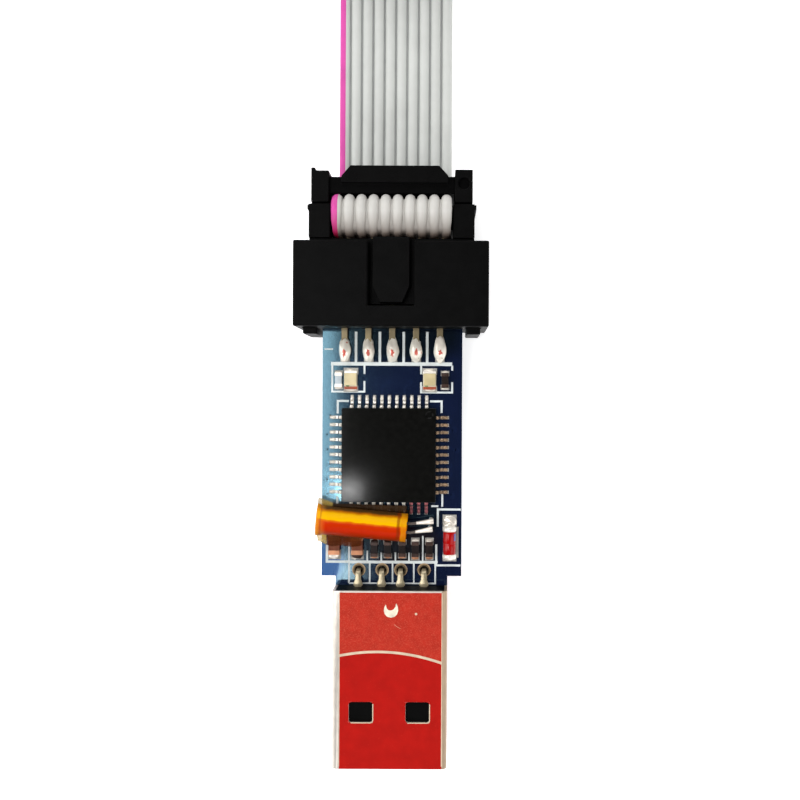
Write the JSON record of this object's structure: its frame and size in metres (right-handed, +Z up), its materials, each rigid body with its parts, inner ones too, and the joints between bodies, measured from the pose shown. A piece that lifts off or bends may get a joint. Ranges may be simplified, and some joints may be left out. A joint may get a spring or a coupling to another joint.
{
  "type": "usb microcontroller programmer",
  "caption": "Bare-board USB stick with a flat-pack microcontroller and a keyed box header, from which a plugged-in ribbon lead pulls off; it programs and debugs microcontrollers.",
  "frame": {"origin": "on the surface that the box header stands on, under the middle of plug, board, header and plugged-in socket", "axes": "+X across the board, +Y from the USB plug to the ribbon, +Z up from the component side"},
  "size_m": [0.0204, 0.1617, 0.0098],
  "materials": {
    "board": "deep blue solder mask over fibreglass",
    "plug_steel": "plated steel with a red lacquer on its flat faces",
    "plug_plastic": "black moulded plastic",
    "contact_metal": "gold flash",
    "chip_plastic": "moulded epoxy",
    "tinned_metal": "tinned",
    "can_steel": "plated",
    "tape_film": "amber film",
    "lamp_plastic": "clear lens over a pale carrier",
    "resistor_ceramic": "black glaze with tinned ends",
    "capacitor_ceramic": "brown ceramic with tinned ends",
    "diode_glass": "red-tinted glass",
    "connector_plastic": "moulded, fine satin",
    "ribbon_vinyl": "pale grey vinyl with one magenta edge",
    "tie_plastic": "nylon"
  },
  "bodies": {
    "programmer": {"circuit_board": "board", "usb_shell": "plug_steel", "usb_insulator": "plug_plastic", "usb_contacts": "contact_metal", "mcu_body": "chip_plastic", "mcu_leads": "tinned_metal", "crystal_can": "can_steel", "crystal_leads": "tinned_metal", "crystal_tape": "tape_film", "led_left": "lamp_plastic", "led_right": "lamp_plastic", "led_resistor_left": "resistor_ceramic", "led_resistor_right": "resistor_ceramic", "big_capacitor_1": "capacitor_ceramic", "big_capacitor_2": "capacitor_ceramic", "row_chip_1": "resistor_ceramic", "row_chip_2": "capacitor_ceramic", "row_chip_3": "capacitor_ceramic", "row_chip_4": "resistor_ceramic", "row_chip_5": "resistor_ceramic", "diode_glass": "diode_glass", "diode_caps": "tinned_metal", "bridge_body": "chip_plastic", "bridge_leads": "tinned_metal", "back_chip_1": "capacitor_ceramic", "back_chip_2": "capacitor_ceramic", "back_chip_3": "capacitor_ceramic", "header_shroud": "connector_plastic", "header_pins_upper": "contact_metal", "header_pins_lower": "contact_metal"},
    "cable": {"socket_body": "connector_plastic", "socket_cover": "connector_plastic", "strain_relief": "connector_plastic", "socket_contacts": "contact_metal", "ribbon_cable": "ribbon_vinyl", "ribbon_hank": "ribbon_vinyl", "ribbon_tail": "ribbon_vinyl", "hank_tie": "tie_plastic", "far_socket_body": "connector_plastic", "far_socket_cover": "connector_plastic", "far_strain_relief": "connector_plastic", "far_socket_contacts": "contact_metal"}
  },
  "joints": [
    {"name": "socket_unplug", "type": "slide", "parent": "programmer", "child": "cable", "axis": [0, 1, 0], "range_m": [0, 0.008]}
  ]
}
